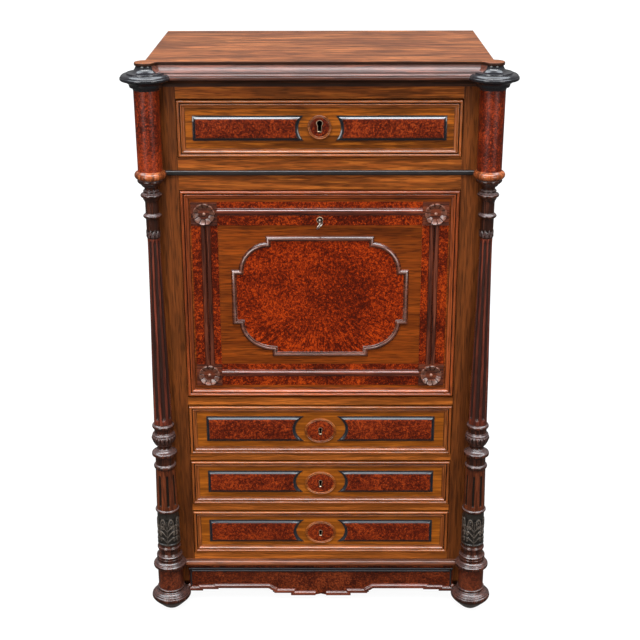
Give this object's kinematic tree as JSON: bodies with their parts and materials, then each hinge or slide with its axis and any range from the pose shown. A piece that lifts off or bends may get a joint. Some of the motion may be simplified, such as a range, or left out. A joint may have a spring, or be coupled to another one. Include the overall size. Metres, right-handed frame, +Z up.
{
  "type": "drop-front secretary",
  "caption": "Free-standing drop-front secretary with turned corner columns, a frieze drawer, a fall that opens to a writing surface with a fitted gallery, and drawers below.",
  "frame": {"origin": "on the floor, under the middle of the bounding box", "axes": "+Z up, +Y towards the back, +X to the right seen from the front"},
  "size_m": [0.989, 0.5758, 1.562],
  "materials": {
    "rosewood_veneer": "shellac polished, streaked grain",
    "burr_veneer": "shellac polished burr",
    "ebonised_wood": "polished black",
    "dark_polished_wood": "shellac polished",
    "inner_oak": "plain planed",
    "desk_wood": "satin",
    "brass_fittings": "aged satin",
    "key_steel": "worn bright",
    "writing_leather": "soft sheen"
  },
  "bodies": {
    "case": {"apron": "burr_veneer", "apron_beads": "ebonised_wood", "back_panel": "inner_oak", "base_moulding": "rosewood_veneer", "carcase_boards": "inner_oak", "column_cap_left": "ebonised_wood", "column_cap_right": "ebonised_wood", "column_drum_left": "burr_veneer", "column_drum_right": "burr_veneer", "column_left": "dark_polished_wood", "column_right": "dark_polished_wood", "column_sleeve_left": "ebonised_wood", "column_sleeve_right": "ebonised_wood", "cornice": "rosewood_veneer", "desk_boards": "desk_wood", "drawer_runners": "inner_oak", "front_foot_left": "dark_polished_wood", "front_foot_right": "dark_polished_wood", "front_rails": "rosewood_veneer", "gallery": "desk_wood", "rear_feet": "dark_polished_wood", "side_left": "rosewood_veneer", "side_right": "rosewood_veneer", "stile_left": "rosewood_veneer", "stile_right": "rosewood_veneer", "top_board": "rosewood_veneer", "waist_string": "ebonised_wood"},
    "fall": {"fall_board": "rosewood_veneer", "fall_moulding": "rosewood_veneer", "fall_bands": "burr_veneer", "fall_rosettes": "dark_polished_wood", "fall_cartouche": "dark_polished_wood", "fall_cartouche_panel": "burr_veneer", "fall_leather": "writing_leather", "fall_lock": "brass_fittings", "fall_pivots": "brass_fittings", "fall_quadrants": "brass_fittings"},
    "fall_bolt": {"fall_bolt": "key_steel"},
    "key": {"key": "key_steel"},
    "small_drawer_left": {"small_drawer_left": "desk_wood"},
    "small_drawer_right": {"small_drawer_right": "desk_wood"},
    "drawer_top": {"drawer_top_front": "rosewood_veneer", "drawer_top_box": "inner_oak", "drawer_top_panels": "burr_veneer", "drawer_top_lock": "brass_fittings"},
    "drawer_upper": {"drawer_upper_front": "rosewood_veneer", "drawer_upper_box": "inner_oak", "drawer_upper_panels": "burr_veneer", "drawer_upper_lock": "brass_fittings"},
    "drawer_middle": {"drawer_middle_front": "rosewood_veneer", "drawer_middle_box": "inner_oak", "drawer_middle_panels": "burr_veneer", "drawer_middle_lock": "brass_fittings"},
    "drawer_lower": {"drawer_lower_front": "rosewood_veneer", "drawer_lower_box": "inner_oak", "drawer_lower_panels": "burr_veneer", "drawer_lower_lock": "brass_fittings"}
  },
  "joints": [
    {"name": "fall_hinge", "type": "hinge", "parent": "case", "child": "fall", "pos_m": [0, -0.19828, 0.68035], "axis": [1, 0, 0], "range_deg": [0, 90]},
    {"name": "key_turn", "type": "hinge", "parent": "fall", "child": "key", "pos_m": [0, -0.20488, 1.1506], "axis": [0, 1, 0], "range_deg": [0, 180]},
    {"name": "bolt_slide", "type": "slide", "parent": "fall", "child": "fall_bolt", "axis": [0, 0, 1], "range_m": [0, 0.0088]},
    {"name": "drawer_top_slide", "type": "slide", "parent": "case", "child": "drawer_top", "axis": [0, -1, 0], "range_m": [0, 0.33]},
    {"name": "drawer_upper_slide", "type": "slide", "parent": "case", "child": "drawer_upper", "axis": [0, -1, 0], "range_m": [0, 0.33]},
    {"name": "drawer_middle_slide", "type": "slide", "parent": "case", "child": "drawer_middle", "axis": [0, -1, 0], "range_m": [0, 0.33]},
    {"name": "drawer_lower_slide", "type": "slide", "parent": "case", "child": "drawer_lower", "axis": [0, -1, 0], "range_m": [0, 0.33]},
    {"name": "small_drawer_left_slide", "type": "slide", "parent": "case", "child": "small_drawer_left", "axis": [0, -1, 0], "range_m": [0, 0.08]},
    {"name": "small_drawer_right_slide", "type": "slide", "parent": "case", "child": "small_drawer_right", "axis": [0, -1, 0], "range_m": [0, 0.08]}
  ],
  "couplings": [
    {"joint": "key_turn", "follows": "bolt_slide", "rad_per_m": 356.96}
  ]
}
